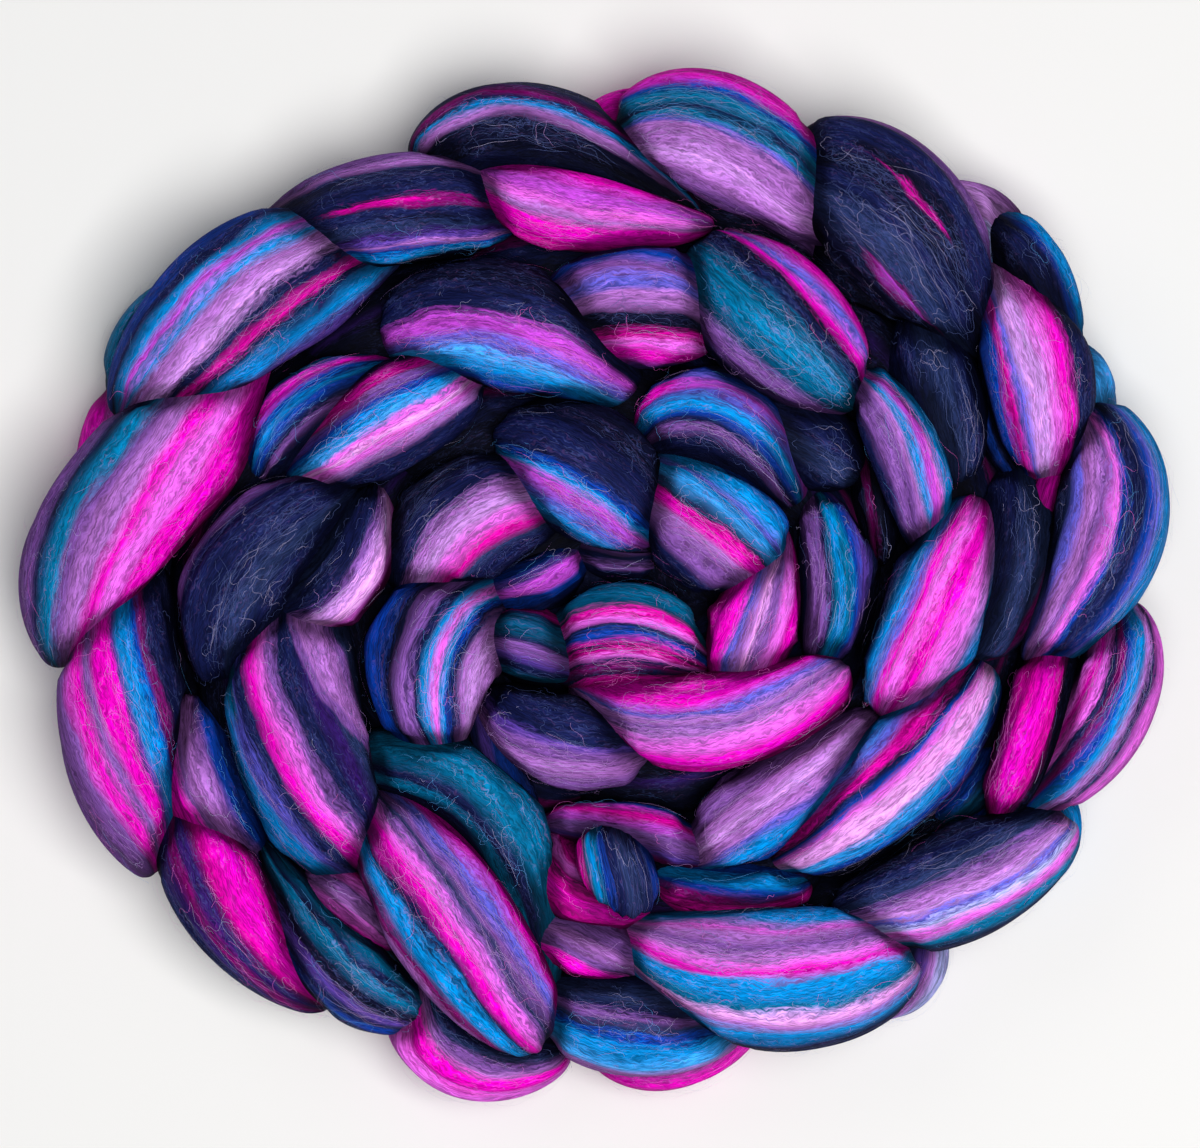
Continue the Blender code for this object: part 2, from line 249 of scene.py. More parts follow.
def skin(bout, rng, index=0, count=1, steps=(TOP_STEPS, UNDER_STEPS, LONG_STEPS)):
    """Points and faces of one bout, its two maps, and how far its relief stands out of a smooth skin.

    The first map, for the fibres, runs from heel to toe and once round.  The second fits the bout beside
    the others of its piece: it is number index of count.
    """
    top_steps, under_steps, long_steps = steps
    top = np.linspace(TOP_START, TOP_END, top_steps, endpoint=False)
    under = np.linspace(TOP_END, UNDER_END, under_steps, endpoint=False)
    lock = np.concatenate([top, under])
    t = 0.5 - 0.5 * np.cos(np.pi * np.arange(1, long_steps) / long_steps)
    relief = lock_relief(bout, t[:, None], lock[None, :], rng)
    points, away = on_bout(bout, *np.broadcast_arrays(t[:, None], lock[None, :]), relief)
    pressed = PRESSED_RISE * fullness(bout, t[:, None]) * min(1, bout.wide / FULL_BOUT)
    rough = away * (relief - pressed)[..., None]
    rough = np.concatenate([rough.reshape(-1, 3), np.zeros((2, 3))]) * MM
    rows, turns = points.shape[:2]
    pinches = [middle_line(bout, 0.0)[0], middle_line(bout, 1.0)[0]]
    verts = np.concatenate([points.reshape(-1, 3), pinches]) * MM

    turn = np.arange(turns)
    after = (turn + 1) % turns
    base = np.arange(rows - 1)[:, None] * turns
    last = (rows - 1) * turns
    quads = np.stack([base + turn, base + after, base + turns + after, base + turns + turn], -1)
    heel = np.stack([turn * 0 + rows * turns, after, turn], -1)
    toe = np.stack([turn * 0 + rows * turns + 1, last + turn, last + after], -1)
    faces = quads.reshape(-1, 4).tolist() + heel.tolist() + toe.tolist()

    # Both maps are cut halfway across the underside, where the cut can't be seen.
    left = lock / (2 * np.pi)
    right = np.append(left[1:], left[0] + 1)
    past_cut = turn >= turns - under_steps // 2
    left, right = left - past_cut, right - past_cut
    near, far = t[:-1, None] + 0 * left, t[1:, None] + 0 * left
    lefts, rights = left + 0 * near, right + 0 * near
    first, final = t[0] + 0 * left, t[-1] + 0 * left
    middle = (left + right) / 2
    quad_map = np.stack([near, lefts, near, rights, far, rights, far, lefts], -1)
    heel_map = np.stack([0 * left, middle, first, right, first, left], -1)
    toe_map = np.stack([1 + 0 * left, middle, final, left, final, right], -1)
    corners = np.concatenate([quad_map.ravel(), heel_map.ravel(), toe_map.ravel()]).reshape(-1, 2)
    fibre_map = corners + [index, MAP_LIFT]
    bake_map = np.stack([corners[:, 0], (corners[:, 1] + MAP_LIFT + index) / count], -1)
    return verts, faces, fibre_map, bake_map, rough


def wool_mesh(name, skins):
    """One mesh of one or more bouts, with a fibre map and an even map for painting."""
    mesh = bpy.data.meshes.new(name)
    verts, faces, slots = [], [], []
    for slot, (points, corners, *_) in enumerate(skins):
        faces += [tuple(corner + len(verts) for corner in face) for face in corners]
        slots += [slot] * len(corners)
        verts += points.tolist()
    mesh.from_pydata(verts, [], faces)
    for title, column in (("OFBake", 3), ("fibres", 2)):
        corners = np.concatenate([one[column] for one in skins])
        mesh.uv_layers.new(name=title).data.foreach_set("uv", corners.astype(np.float32).ravel())
    mesh.polygons.foreach_set("use_smooth", [True] * len(faces))
    return mesh, slots


class Wire:
    """One output of a shader node, so that sums on it read as sums."""

    def __init__(self, tree, socket):
        self.tree = tree
        self.socket = socket

    def node(self, kind, settings=None, **inputs):
        """Adds a node: settings come first, then each socket, by name or as _number, is linked or set."""
        made = self.tree.nodes.new(kind)
        for name, value in (settings or {}).items():
            setattr(made, name, value)
        for name, value in inputs.items():
            socket = made.inputs[int(name[1:]) if name[0] == "_" else name.replace("_", " ")]
            if isinstance(value, Wire):
                self.tree.links.new(value.socket, socket)
            else:
                socket.default_value = value
        return made

    def out(self, made, name=0):
        return Wire(self.tree, made.outputs[name])

    def maths(self, kind, one, two=0.0):
        return self.out(self.node("ShaderNodeMath", {"operation": kind}, _0=one, _1=two))

    def __add__(self, other):
        return self.maths("ADD", self, other)

    __radd__ = __add__

    def __sub__(self, other):
        return self.maths("SUBTRACT", self, other)

    def __rsub__(self, other):
        return self.maths("SUBTRACT", other, self)

    def __mul__(self, other):
        return self.maths("MULTIPLY", self, other)

    __rmul__ = __mul__

    def __abs__(self):
        return self.maths("ABSOLUTE", self)

    def cos(self):
        return self.maths("COSINE", self)

    def fraction(self):
        return self.maths("FRACT", self)

    def between(self, low, high):
        """0 below low, 1 above high and a soft step between."""
        made = self.node("ShaderNodeMapRange", {"interpolation_type": "SMOOTHSTEP"},
                         Value=self, From_Min=low, From_Max=high)
        return self.out(made, "Result")

    def grain(self, long, wide, around, seed, detail=2.0):
        """Noise in grains so many millimetres long, along this value, and wide, around the bout."""
        x, y = self * (1 / long), around * (1 / wide)
        place = self.out(self.node("ShaderNodeCombineXYZ", X=x, Y=y, Z=seed))
        made = self.node("ShaderNodeTexNoise", {"noise_dimensions": "3D"},
                         Vector=place, Scale=1.0, Detail=detail, Roughness=0.55)
        return self.out(made, "Factor" if "Factor" in made.outputs else "Fac")

    def blend(self, share, one, two, kind="MIX"):
        """Colour one, with colour two laid over it by share."""
        made = self.node("ShaderNodeMix", {"data_type": "RGBA", "blend_type": kind, "clamp_result": True},
                         _0=share, _6=one, _7=two)
        return self.out(made, 2)

    def grey(self):
        """This value as a colour."""
        return self.out(self.node("ShaderNodeCombineColor", Red=self, Green=self, Blue=self))


def linear(dye):
    """A dye as linear light."""
    part = [value / 255 for value in dye]
    return [v / 12.92 if v <= 0.04045 else ((v + 0.055) / 1.055) ** 2.4 for v in part] + [1.0]


# How far a lock wanders sideways, how far a fibre crimps, and how far single fibres and tufts of them cross
# into the next dye.  All but the crimp are less on bouts narrower than FULL_WANDER.
WANDER = 6.0
CRIMP = 0.8
FIBRE_CROSSES = 2.2
TUFT_CROSSES = 3.2
FULL_WANDER = 20

# Two dyes run together over this share of the visible width, and over at most this share of a lock.
DYE_EDGE = 0.045
LOCK_EDGE = 0.42


def dye_ramp(bout, across):
    """The dyed locks of a bout, as a colour for each place across it."""
    ramp = across.node("ShaderNodeValToRGB", Fac=across)
    stops = ramp.color_ramp.elements
    marks = []
    start = 0.0
    for name, end in zip(*lock_ends(bout)):
        edge = min(DYE_EDGE, (end - start) * LOCK_EDGE)
        marks += [(start + edge, name), (end - edge, name)]
        start = end
    while len(stops) < len(marks):
        stops.new(0.5)
    for stop, (spot, name) in zip(stops, marks):
        stop.position = min(max(spot, 0), 1)
        stop.color = linear(DYES[name])
    return across.out(ramp, "Color")


def dyed_wool(bout, seed):
    """Wool of one bout: dyed locks, crimped fibres, those that stray over others, painted shade and sheen.
    """
    made = bpy.data.materials.new("wool_" + bout.name)
    made.use_nodes = True
    tree = made.node_tree
    shader = tree.nodes["Principled BSDF"]
    length = sum(
        np.linalg.norm(np.subtract(*pair)) for pair in ((bout.heel, bout.belly), (bout.belly, bout.toe))
    )
    girth = math.pi * (bout.wide + bout.deep) / 2
    start = Wire(tree, tree.nodes.new("ShaderNodeUVMap").outputs[0])
    start.socket.node.uv_map = "fibres"
    split = start.node("ShaderNodeSeparateXYZ", Vector=start)
    share = start.out(split, "X").fraction()
    along = start.out(split, "X") * length
    around = (start.out(split, "Y") - MAP_LIFT) * girth

    # How the fibres lie.
    loose = min(1, bout.wide / FULL_WANDER)
    wander = along.grain(22, 7, around, seed) - 0.5
    crimp = along.grain(1.1, 1.6, around, seed + 3.1, 1.0) - 0.5
    flow = around + wander * (WANDER * loose)
    wavy = flow + crimp * CRIMP
    fibre = along.grain(2.6, 0.3, wavy, seed + 7.7)
    tuft = along.grain(18, 1.3, wavy, seed + 11.3)
    tone = along.grain(16, 5, around, seed + 14.7, 1.0)

    # The dyes, and the slips of other dyes that show between them; an ink slip beside the plum and magenta
    # slips is painted shade in the parting.
    place = flow + (fibre - 0.5) * (FIBRE_CROSSES * loose) + (tuft - 0.5) * (TUFT_CROSSES * loose)
    across = 0.5 - (place * (2 * math.pi / girth)).cos() * 0.5
    colour = dye_ramp(bout, across)
    for dye, (begin, left), (finish, right), half, peak in bout.slips:
        run = start.maths("MAXIMUM", (share - begin) * (1 / (finish - begin)), 0.0)
        eased = start.maths("POWER", run, math.log(0.5) / math.log(peak))
        inside = eased * (1 - eased) * (4 * half) - abs(across - (run * (right - left) + left))
        colour = start.blend(inside.between(-0.004, 0.03), colour, linear(DYES[dye]))

    # Painted shade: the wool is darkened where less light reaches it, between fibres and tufts, at the
    # pinches, low on the sides and in creases.  Painted sheen: fibres and tufts are lightened past their
    # dye, and the tone varies at random.
    light = (fibre.between(0.3, 0.7) * 0.8 + 0.5) * (tuft.between(0.25, 0.7) * 0.36 + 0.74)
    light = light * (tone.between(0.25, 0.75) * 0.3 + 0.85)
    deep = share.between(0.0, 0.2) * (1 - share.between(0.82, 1.0)) * 0.45 + 0.55
    under = across.between(0.0, 0.12) * (1 - across.between(0.88, 1.0)) * 0.4 + 0.6
    crease = start.out(start.node("ShaderNodeAttribute", {"attribute_name": "crease"}), "Fac")
    shade = light * deep * under * (crease * 0.8 + 0.2)
    dark = 1 - start.out(start.node("ShaderNodeRGBToBW", Color=colour)).between(0.02, 0.12)
    colour = start.blend(1.0, colour, shade.grey(), "MULTIPLY")

    # Pale threads over the locks, partly loose undyed fibres and partly a painted sheen of fibres that
    # catch the light, and the frizz that greys the dark ones.  Both are painted fainter in the shade of
    # creases, the threads at the pinches too.
    stray = along.grain(9, 0.9, around + crimp * 2.4, seed + 17.9, 1.0)
    curl = along.grain(5, 0.7, flow + crimp * 1.2, seed + 21.3)
    thread_and_sheen = (1 - abs(stray - 0.5) * 44).between(0.0, 1.0) * tone.between(0.3, 0.6)
    colour = start.blend(thread_and_sheen * deep * crease * (0.22 - dark * 0.16), colour, linear(DYES["pale"]))
    frizz = (1 - abs(curl - 0.5) * 30).between(0.0, 1.0) * tone.between(0.35, 0.6)
    colour = start.blend(frizz * dark * (crease * 0.34 + 0.04), colour, linear(DYES["bloom"]))
    tree.links.new(colour.socket, shader.inputs["Base Color"])

    relief = fibre * 0.7 + tuft * 0.9
    bump = start.node("ShaderNodeBump", Strength=0.6, Distance=0.0004, Height=relief)
    tree.links.new(bump.outputs[0], shader.inputs["Normal"])
    shader.inputs["Roughness"].default_value = 0.7
    shader.inputs["Specular IOR Level"].default_value = 0.04
    return made


# Every mesh laid, with its skins, for the creases further down.
laid = []


def lay(name, skins, materials):
    """Makes one piece of one or more bouts and lays it in its place on the braid."""
    mesh, slots = wool_mesh(name, skins)
    laid.append((mesh, skins))
    piece = bpy.data.objects.new(name, mesh)
    bpy.context.scene.collection.objects.link(piece)
    for wool in materials:
        mesh.materials.append(wool)
    mesh.polygons.foreach_set("material_index", [slot % len(materials) for slot in slots])
    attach(piece, "root")
    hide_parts("braid")


def lay_bouts(bouts, seed):
    """Lays each bout of a turn as a piece of its own."""
    for order, bout in enumerate(bouts):
        rng = np.random.default_rng(seed + order)
        lay(bout.name, [skin(bout, rng)], [dyed_wool(bout, rng.uniform(0, 90))])


lay_bouts(OUTER_TURN, 100)

# ---------------------------------------------------------------------------------------------------------
# Bouts of the turn below, which peek out past the outer turn all round the nest.  They are of the same
# roving, pressed flatter by the weight of the turn that lies on them.

OUTER_UNDER = [
    Bout("under01", (-104, 60, 13), (-117, 35, 16), (-116, 8, 13), 26, 24,
         "navy 50 magenta 70 rose 85 pink 100"),
    Bout("under02", (-2, -114, 13), (20, -116, 15), (42, -104, 13), 20, 24,
         "navy 40 pink 58 rose 84 pink 100"),
    Bout("under03", (110, 62, 16), (118, 47, 19), (118, 30, 16), 23, 24,
         "sky 30 azure 60 rose 75 azure 85 navy 100"),
    Bout("under04", (82, 97, 14), (97, 87, 20), (104, 72, 14), 23, 24,
         "lilac 10 pale 40 frost 58 azure 72 blue 85 navy 100"),
    Bout("under05", (-8, 106, 14), (11, 114, 16), (32, 110, 14), 22, 24, "pink 30 magenta 60 navy 100"),
    Bout("under06", (115, 33, 27), (111.5, 21, 31), (108, 9, 25), 10, 16,
         "magenta 15 pink 85 magenta 100"),
    Bout("under07", (-104, 76, 14), (-114, 56, 16), (-114, 38, 14), 20, 24, "navy 70 petrol 85 teal 100"),
]

lay_bouts(OUTER_UNDER, 200)

# ---------------------------------------------------------------------------------------------------------
# The inner turn of the coil, in the same order round the nest.  Its stitches lean on the outer turn, and at
# its near side the roving is rolled into a small knob (inner14) with loose wool round it (inner26).

INNER_TURN = [
    Bout("inner01", (-54, 61, 24), (-25, 65, 38), (9, 49, 29), 30, 29,
         "ink 22 navy 44 orchid 60 iris 72 sky 78 azure 90 blue 94 navy 100", ends=(0.38, 0.27)),
    Bout("inner02", (-13, 65, 26), (10, 70, 36), (30, 64, 29), 31, 28,
         "violet 8 blue 18 mauve 30 iris 35 lilac 50 ink 68 magenta 74 rose 82 pink 96 violet 100",
         ends=(0.2, 0.28)),
    Bout("inner03", (25, 83, 26), (43, 66, 40), (65, 45, 31), 33, 30,
         "pink 9 iris 17 pink 24 ink 30 navy 36 petrol 42 teal 72 petrol 78 mauve 94 navy 100",
         ends=(0.34, 0.46)),
    Bout("inner04", (30, 49, 24), (48, 39, 32), (66, 27, 26), 25, 24, "navy 50 slate 74 navy 100"),
    Bout("inner05", (79, 70, 24), (85, 46, 31), (90, 24, 26), 25, 26, "navy 30 slate 60 navy 100"),
    Bout("inner06", (62, 54, 29), (77, 35, 37), (82, 7, 30), 18, 25,
         "azure 20 rose 24 orchid 40 azure 50 lilac 58 mauve 86 navy 100", ends=(0.5, 0.34)),
    Bout("inner07", (67, 34, 20), (70, 20, 27), (71, 5, 22), 13, 20, "ink 55 plum 65 ink 100"),
    Bout("inner08", (95, 21, 29), (84, -5, 39), (71, -32, 31), 25, 28,
         "azure 10 lilac 19 rose 36 pink 52 rose 62 pink 74 iris 82 azure 93 navy 100",
         ends=(0.28, 0.32)),
    Bout("inner09", (104, 31, 22), (103, 6, 32), (91, -20, 27), 26, 26,
         "slate 10 plum 14 slate 50 navy 100"),
    Bout("inner10", (71, -31, 25), (47, -50, 37), (23, -68, 29), 21, 26,
         "blue 8 azure 24 iris 32 lilac 48 pale 58 lilac 76 mauve 100", full=0.55, ends=(0.4, 0.32)),
    Bout("inner11", (96, -19, 26), (74, -47, 37), (42, -70, 28), 26, 27,
         "dusk 5 blue 10 azure 20 sky 24 blush 46 rose 54 blue 60 navy 66 magenta 78 iris 86 azure 100",
         full=0.45, ends=(0.3, 0.46)),
    Bout("inner12", (-15, -59, 25), (11, -61.5, 34), (35, -70, 28), 13, 20,
         "blue 10 magenta 24 orchid 40 mauve 74 violet 88 plum 100", ends=(0.34, 0.46)),
    Bout("inner13", (9, -71, 22), (33, -77, 30), (54, -74, 24), 18, 20,
         "blue 20 azure 40 blue 52 plum 64 magenta 84 plum 100"),
    Bout("inner14", (0, -62.5, 27), (5, -70, 39), (10, -77.5, 27), 18, 22,
         "blue 10 navy 26 slate 52 navy 66 blue 72 teal 79 azure 83 teal 88 magenta 100",
         twist=150, ends=(0.5, 0.5)),
    Bout("inner15", (-85, 27, 22), (-73, 44, 33), (-48, 56, 26), 18, 25,
         "azure 7 violet 9 pink 17 blue 30 azure 40 blue 54 navy 60 mauve 74 navy 100"),
    Bout("inner16", (-78, 26, 24), (-53, 42, 36), (-31, 54, 28), 26, 27,
         "navy 8 plum 17 magenta 23 mauve 29 violet 35 blue 41 azure 49 sky 53 rose 60 blush 64 rose 71 "
         "lilac 78 navy 100", ends=(0.4, 0.28)),
    Bout("inner17", (-94, -24, 22), (-87, 4, 36), (-60, 26, 28), 27, 28,
         "navy 3 mauve 5 navy 55 slate 70 navy 100", ends=(0.36, 0.4)),
    Bout("inner18", (-86, -8, 24), (-64, 3, 35), (-56, 27, 27), 21, 24,
         "slate 30 navy 60 mauve 66 pale 76 blush 88 rose 95 plum 100"),
    Bout("inner19", (-72, 3, 22), (-75, -35, 36), (-60, -71, 28), 34, 29,
         "slate 22 dusk 34 navy 50 mauve 57 rose 63 pink 72 navy 86 iris 92 azure 100",
         twist=-75, ends=(0.3, 0.28), slips=(
             ("mauve", (-0.02, 0.34), (0.7, 0.02), 0.17, 0.34),
             ("lilac", (0.0, 0.33), (0.64, 0.02), 0.11, 0.34),
             ("teal", (0.26, 0.96), (0.50, 0.88), 0.06, 0.5),
         )),
    Bout("inner20", (-27, -2, 18), (-41, -18, 37), (-38, -43, 28), 34, 28,
         "lilac 10 pale 20 lilac 28 navy 35 blue 39 azure 44 rose 51 azure 56 navy 64 mauve 74 ink 84 "
         "blue 100", full=0.37, ends=(0.3, 0.4)),
    Bout("inner21", (-103, -28, 18), (-99, -49, 29), (-85, -69, 20), 24, 24,
         "navy 8 blue 34 mauve 42 lilac 60 mauve 68 pink 84 magenta 100"),
    Bout("inner22", (-72, -73, 20), (-61, -79.5, 31), (-50, -90, 22), 16, 20,
         "magenta 14 rose 26 mauve 44 lilac 60 rose 74 pink 92 magenta 100"),
    Bout("inner23", (-20, -84, 20), (-4, -88.5, 29), (16, -99, 22), 18, 22,
         "plum 8 mauve 38 lilac 58 mauve 72 pink 90 magenta 100", ends=(0.3, 0.46)),
    Bout("inner24", (-31, -26, 20), (-25, -46, 28), (-16, -62, 22), 17, 22,
         "navy 20 blue 45 violet 62 navy 100"),
    Bout("inner25", (101, -38, 16), (94, -51, 22), (82, -60, 18), 12, 18, "petrol 50 blue 100"),
    Bout("inner26", (-14, -62, 21), (-6, -75, 32), (16, -80, 25), 20, 20,
         "plum 10 magenta 30 rose 36 plum 44 magenta 60 pink 68 magenta 84 plum 100", ends=(0.32, 0.46)),
]

lay_bouts(INNER_TURN, 300)

# ---------------------------------------------------------------------------------------------------------
# The eye of the nest, where the chain starts with its smallest stitches.  Its end is tucked down under
# them, and a flat bout of dark wool (eye13) fills the bottom of the hollow.

EYE = [
    Bout("eye01", (-8, -18, 24), (9, -13, 38), (30, -22, 30), 26, 28,
         "teal 16 petrol 20 magenta 28 rose 31 navy 40 blue 50 magenta 53 navy 56 magenta 62 rose 66 "
         "navy 72 plum 76 navy 82 magenta 90 pink 100", full=0.4, ends=(0.24, 0.7)),
    Bout("eye02", (-7, -23, 27), (28, -33, 42), (62, -20, 33), 24, 26,
         "magenta 4 pink 34 orchid 39 iris 46 lilac 54 mauve 60 lilac 66 rose 78 pink 93 magenta 100",
         full=0.56, twist=-50, ends=(0.3, 0.3)),
    Bout("eye03", (47, 17, 26), (40, -6, 37), (33, -27, 30), 22, 26,
         "plum 8 pink 20 rose 32 mauve 46 blush 52 lilac 60 iris 70 pink 92 magenta 100",
         full=0.6, ends=(0.5, 0.4)),
    Bout("eye04", (54, 24, 22), (59, 1, 34), (54, -21, 27), 19, 25,
         "navy 10 violet 20 blue 30 teal 42 azure 48 teal 56 navy 62 mauve 86 navy 100"),
    Bout("eye05", (12, 28, 26), (28, 16, 38), (42, 3, 30), 30, 28,
         "blue 10 azure 24 iris 26 azure 34 sky 44 slate 48 magenta 52 pink 64 lilac 72 mauve 84 "
         "navy 100", ends=(0.32, 0.34)),
    Bout("eye06", (11, 37, 26), (31, 41, 36), (50, 20, 28), 27, 27,
         "navy 8 blue 14 iris 18 orchid 25 iris 29 azure 44 blue 50 navy 57 mauve 65 navy 100",
         ends=(0.32, 0.38), slips=(
             ("pink", (0.04, 0.24), (0.34, 0.2), 0.06, 0.4),
         )),
    Bout("eye07", (-23, 36, 26), (-4, 29, 38), (15, 12, 30), 33, 29,
         "ink 25 navy 54 blue 60 azure 64 orchid 74 iris 82 azure 94 navy 100", ends=(0.36, 0.36)),
    Bout("eye08", (-8, 11, 20), (5, 7, 28), (16, 8, 22), 13, 20,
         "navy 25 mauve 40 navy 60 mauve 72 navy 100"),
    Bout("eye09", (-50, -1, 27), (-32, 17, 36), (-8, 19, 29), 30, 28,
         "ink 16 navy 36 lilac 45 pale 58 rose 66 magenta 76 slate 84 navy 100",
         twist=-50, ends=(0.38, 0.34)),
    Bout("eye10", (-30, -2, 22), (-15, 1, 30), (-4, 10, 24), 16, 20,
         "navy 12 blue 30 violet 46 orchid 62 blue 84 navy 100"),
    Bout("eye11", (-27, -13, 24), (-16, -14.5, 34), (-4, -19, 28), 18, 25,
         "magenta 12 navy 18 petrol 40 navy 46 mauve 68 violet 76 navy 90 teal 100", ends=(0.3, 0.3)),
    Bout("eye13", (-30, 14, 14), (-4, 2, 22), (24, -8, 16), 26, 20, "ink 40 navy 60 ink 100"),
    Bout("eye12", (-28, -27, 24), (-9, -38, 35), (15, -38, 27), 23, 26,
         "ink 20 navy 52 violet 58 mauve 72 lilac 88 mauve 100", ends=(0.36, 0.42)),
]

lay_bouts(EYE, 400)

# ---------------------------------------------------------------------------------------------------------
# The first layer of the coil, which the turns lie on, and the wool that shows deep in the creases.  Each
# ring is bouts laid end over end round an oval: reach and depth are its half width and half depth.

Ring = namedtuple("Ring", "name reach depth count start long wide deep height")
RINGS = [
    Ring("base_outer", 111, 96, 16, 5, 54, 29, 28, 13),
    Ring("base_inner", 77, 64, 12, 0, 50, 29, 28, 13),
    Ring("base_eye", 42, 32, 7, 10, 46, 29, 28, 13),
    Ring("crease_outer", 93, 78, 13, 12, 54, 25, 22, 23),
    Ring("crease_inner", 57, 45, 9, 5, 48, 25, 22, 23),
    Ring("crease_eye", 22, 14, 4, 40, 42, 25, 22, 23),
]
BASE_DYES = [
    "ink 50 navy 64 azure 72 lilac 79 navy 83 rose 88 pink 94 navy 97 azure 100",
    "ink 60 navy 72 rose 77 pink 84 plum 88 navy 93 lilac 97 mauve 100",
    "ink 52 blue 64 azure 73 mauve 80 navy 88 slate 93 lilac 97 azure 100",
    "ink 58 mauve 68 lilac 77 navy 84 teal 91 azure 95 pink 98 rose 100",
]
CREASE_DYES = ["ink 60 navy 80 plum 84 ink 100", "ink 60 dusk 70 ink 100", "navy 30 ink 100"]

# These bouts show little, so they take fewer points.  The heel of each lies this far inside the oval, and
# its belly and toe this far outside it.
RING_STEPS = (22, 12, 24)
HEEL_IN = 5
BELLY_OUT = 1


def ring_bouts(ring, dyes):
    """The bouts of one ring, each lying along the oval and a little across it."""
    bouts = []
    for index in range(ring.count):
        angle = math.radians(ring.start) + 2 * math.pi * index / ring.count
        middle = np.array([ring.reach * math.cos(angle), ring.depth * math.sin(angle), ring.height])
        along = np.array([-ring.reach * math.sin(angle), ring.depth * math.cos(angle), 0])
        along /= np.linalg.norm(along)
        out = np.array([along[1], -along[0], 0])
        bouts.append(Bout(
            "%s%02d" % (ring.name, index + 1), middle - along * ring.long / 2 - out * HEEL_IN,
            middle + out * BELLY_OUT, middle + along * ring.long / 2 + out * BELLY_OUT,
            ring.wide, ring.deep, dyes[index % len(dyes)]))
    return bouts


for number, ring in enumerate(RINGS):
    rng = np.random.default_rng(500 + number)
    dyes = BASE_DYES if ring.name == "base_outer" else CREASE_DYES
    bouts = ring_bouts(ring, dyes)
    skins = [skin(bout, rng, order, len(bouts), RING_STEPS) for order, bout in enumerate(bouts)]
    for points, *_ in skins:
        points[:, 2] = np.maximum(points[:, 2], 0)
    lay(ring.name, skins, [dyed_wool(bout, rng.uniform(0, 90)) for bout in bouts[:len(dyes)]])

# The rings that only show deep in the creases, where nothing presses a fold into them.
COVERED = [ring.name for ring in RINGS[1:]]

# ---------------------------------------------------------------------------------------------------------
# Creases.  The chain is pulled tight, so where two bouts press on each other the skin of both rolls down
# into a crease, the locks are pressed smooth, and little light reaches the wool there.

# How near the next bout comes where the light starts to fail, where the skin starts to fold in, how far it
# folds in, and how near it comes where the locks start to be pressed smooth.
CREASE_REACH = 7.0
FOLD_REACH = 4.8
FOLD_SINK = 1.4
PRESS_REACH = 3.0


def room_round(points, own, trees):
    """How far each point is from the nearest other bout: 0 inside one, and CREASE_REACH at most."""
    spots = [Vector(point) for point in points.tolist()]
    room = [CREASE_REACH] * len(spots)
    for other, (low, high, tree) in enumerate(trees):
        if other == own:
            continue
        for index in np.flatnonzero(((points > low) & (points < high)).all(1)).tolist():
            if room[index] > 0:
                spot, out, _, gap = tree.find_nearest(spots[index], room[index] * MM)
                if spot is not None:
                    room[index] = 0.0 if (spots[index] - spot).dot(out) < 0 else gap / MM
    return np.array(room)


def ease(share):
    """A soft step from 0 to 1."""
    return share * share * (3 - 2 * share)


def crease_mesh(mesh, skins, room):
    """Folds the skin in where there is little room, presses it smooth there and notes how dark it is."""
    out = np.empty(len(mesh.vertices) * 3, np.float32)
    mesh.vertex_normals.foreach_get("vector", out)
    eased, folded, pressed = (
        ease(np.minimum(room / reach, 1)) for reach in (CREASE_REACH, FOLD_REACH, PRESS_REACH)
    )
    points, rough = (np.concatenate([one[column] for one in skins]) for column in (0, 4))
    sink = 0 if mesh.name in COVERED else FOLD_SINK
    points = points - rough * (1 - pressed)[:, None]
    points = points - out.reshape(-1, 3) * ((1 - folded) * sink * MM)[:, None]
    points[:, 2] = np.maximum(points[:, 2], 0)
    mesh.vertices.foreach_set("co", points.astype(np.float32).ravel())
    mesh.attributes.new("crease", "FLOAT", "POINT").data.foreach_set("value", eased.astype(np.float32))
    mesh.update()


trees = []
edge = CREASE_REACH * MM
for mesh, skins in laid:
    for points, faces, *_ in skins:
        tree = BVHTree.FromPolygons(points.tolist(), faces)
        trees.append((points.min(0) - edge, points.max(0) + edge, tree))
order = 0
for mesh, skins in laid:
    room = []
    for points, *_ in skins:
        room.append(room_round(points, order, trees))
        order += 1
    crease_mesh(mesh, skins, np.concatenate(room))

# ---------------------------------------------------------------------------------------------------------
# Stray fibres.  Single wool fibres work loose all over combed top: most lie along the locks and stand a
# little proud, and some curl over on themselves.  They are joined by colour into a few pieces.

# The dyes whose loose fibres are gathered in one piece, and the colour of that piece.
STRAY_DYES = {
    "slate": ("ink", "navy", "slate", "dusk", "petrol"),
    "sky": ("teal", "blue", "azure", "sky", "frost"),
    "lilac": ("violet", "iris", "lilac", "mauve", "pale"),
    "rose": ("orchid", "plum", "magenta", "pink", "rose", "blush"),
    "pale": (),
}
FIBRE_DYES = {
    "slate": (82, 96, 150),
    "sky": (92, 162, 228),
    "lilac": (188, 146, 214),
    "rose": (250, 120, 222),
    "pale": (182, 174, 214),
}

# The share of fibres that took no dye, and how wide a fibre is.
PALE_SHARE = 0.14
STRAY_WIDE = 0.042

# Each kind of stray fibre: how many a bout of the usual width has, the points along each, and the least
# room to the next bout at which they show, which varies from fibre to fibre.
Stray = namedtuple("Stray", "kind count points room")
STRAYS = [
    Stray("laid", 430, 8, (1.2, 4.4)),
    Stray("curled", 165, 16, (0.2, 3.2)),
    Stray("halo", 84, 12, (0.2, 3.2)),
]
USUAL_WIDTH = 26

# Bouts whose fibres have been rubbed into a web of curls.
WEBS = {
    "outer05": 60, "outer06": 120, "outer09": 60, "outer12": 40, "outer19": 120, "inner01": 40,
    "inner03": 140, "inner05": 80, "inner09": 40, "inner14": 60, "inner17": 140, "inner18": 100,
    "inner19": 60, "inner26": 60, "eye01": 80, "eye02": 80, "eye12": 40,
}


